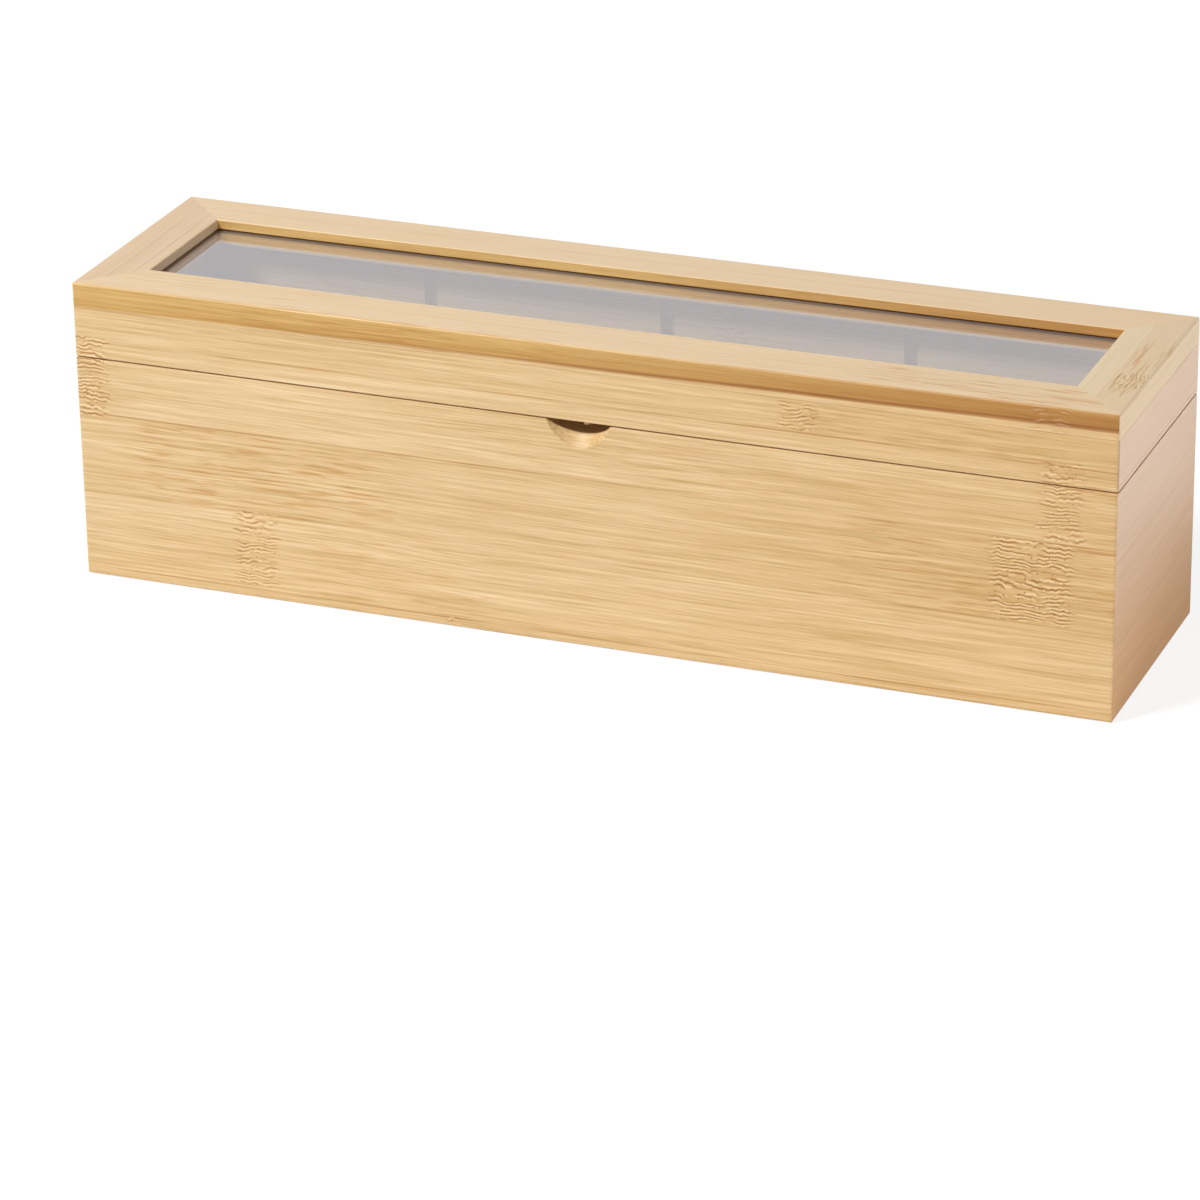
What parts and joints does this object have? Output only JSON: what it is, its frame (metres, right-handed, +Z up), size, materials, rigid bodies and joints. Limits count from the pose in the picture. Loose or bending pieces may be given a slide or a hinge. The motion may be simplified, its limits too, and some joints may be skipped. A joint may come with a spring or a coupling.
{
  "type": "tea bag organizer box",
  "caption": "Long bamboo tea bag box with upright compartments, a thumb notch and a hinged lid with a glass window in a mitred frame.",
  "frame": {"origin": "middle of the footprint, on the surface the box stands on", "axes": "+X along the box to the right seen from the front, +Y to the back where the hinges are, +Z up"},
  "size_m": [0.33, 0.0878, 0.096],
  "materials": {
    "bamboo": "laminated bamboo, satin clear lacquer",
    "bamboo_panel": "thin bamboo board, sanded",
    "window_glass": "clear float glass",
    "hinge_brass": "pressed brass, satin"
  },
  "bodies": {
    "box": {"body_front_wall": "bamboo", "body_rear_wall": "bamboo", "body_left_wall": "bamboo", "body_right_wall": "bamboo", "bottom_panel": "bamboo_panel", "divider_left": "bamboo_panel", "divider_middle": "bamboo_panel", "divider_right": "bamboo_panel", "left_hinge_body_leaf": "hinge_brass", "left_hinge_pin": "hinge_brass", "right_hinge_body_leaf": "hinge_brass", "right_hinge_pin": "hinge_brass", "hinge_body_screws": "hinge_brass"},
    "lid": {"lid_front_wall": "bamboo", "lid_rear_wall": "bamboo", "lid_left_wall": "bamboo", "lid_right_wall": "bamboo", "frame_front_rail": "bamboo", "frame_rear_rail": "bamboo", "frame_left_rail": "bamboo", "frame_right_rail": "bamboo", "window_pane": "window_glass", "left_hinge_lid_leaf": "hinge_brass", "right_hinge_lid_leaf": "hinge_brass", "hinge_lid_screws": "hinge_brass"}
  },
  "joints": [
    {"name": "lid_hinge", "type": "hinge", "parent": "box", "child": "lid", "pos_m": [0, 0.0441, 0.072], "axis": [-1, 0, 0], "range_deg": [0, 105]}
  ]
}
